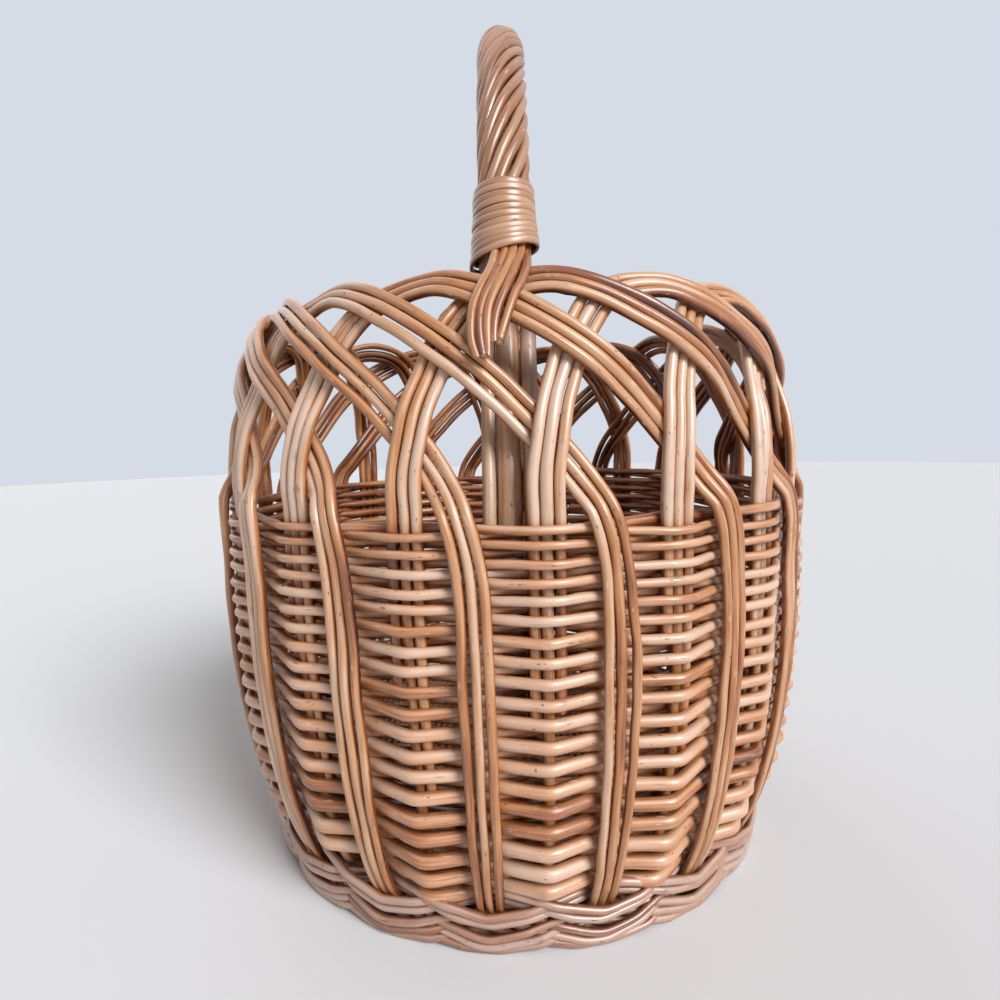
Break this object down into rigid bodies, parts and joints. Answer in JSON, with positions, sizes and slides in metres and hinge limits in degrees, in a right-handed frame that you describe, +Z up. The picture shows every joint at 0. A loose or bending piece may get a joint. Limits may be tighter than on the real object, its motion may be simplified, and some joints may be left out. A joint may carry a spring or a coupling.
{
  "type": "gathering basket",
  "caption": "Round willow gathering basket with plain woven wall, openwork border of arched rods carried down the outside, plaited foot and a tall roped bow handle.",
  "frame": {"origin": "centre of the underside, on the surface that the basket stands on", "axes": "+Z up, -Y towards the front of the picture, the handle arches from front to back in the YZ plane"},
  "size_m": [0.3334, 0.3322, 0.442],
  "materials": {
    "border_rods": "satin varnished peeled willow, honey brown with pale highlights",
    "weave_rods": "satin varnished willow, golden to orange brown",
    "base_rods": "darker matt willow",
    "foot_rods": "satin varnished willow, honey brown",
    "handle_rods": "satin varnished willow, honey brown",
    "lashing_cane": "satin split cane, pale golden brown"
  },
  "bodies": {
    "root": {"base_stick_across_01": "base_rods", "base_stick_across_02": "base_rods", "base_stick_across_03": "base_rods", "base_stick_across_04": "base_rods", "base_stick_along_01": "base_rods", "base_stick_along_02": "base_rods", "base_stick_along_03": "base_rods", "base_stick_along_04": "base_rods", "base_stick_along_05": "base_rods", "base_weave": "base_rods", "border_group_01": "border_rods", "border_group_02": "border_rods", "border_group_03": "border_rods", "border_group_04": "border_rods", "border_group_05": "border_rods", "border_group_06": "border_rods", "border_group_07": "border_rods", "border_group_08": "border_rods", "border_group_09": "border_rods", "border_group_10": "border_rods", "border_group_11": "border_rods", "border_group_12": "border_rods", "border_group_13": "border_rods", "border_group_14": "border_rods", "border_group_15": "border_rods", "border_group_16": "border_rods", "border_group_17": "border_rods", "border_group_18": "border_rods", "foot_border": "foot_rods", "handle_bow": "handle_rods", "handle_strand_1": "handle_rods", "handle_strand_2": "handle_rods", "handle_strand_3": "handle_rods", "lashing_back": "lashing_cane", "lashing_front": "lashing_cane", "tail_back": "handle_rods", "tail_front": "handle_rods", "weaver_a_01": "weave_rods", "weaver_a_02": "weave_rods", "weaver_a_03": "weave_rods", "weaver_a_04": "weave_rods", "weaver_a_05": "weave_rods", "weaver_a_06": "weave_rods", "weaver_a_07": "weave_rods", "weaver_a_08": "weave_rods", "weaver_a_09": "weave_rods", "weaver_b_01": "weave_rods", "weaver_b_02": "weave_rods", "weaver_b_03": "weave_rods", "weaver_b_04": "weave_rods", "weaver_b_05": "weave_rods", "weaver_b_06": "weave_rods", "weaver_b_07": "weave_rods", "weaver_b_08": "weave_rods", "weaver_b_09": "weave_rods"}
  },
  "joints": []
}
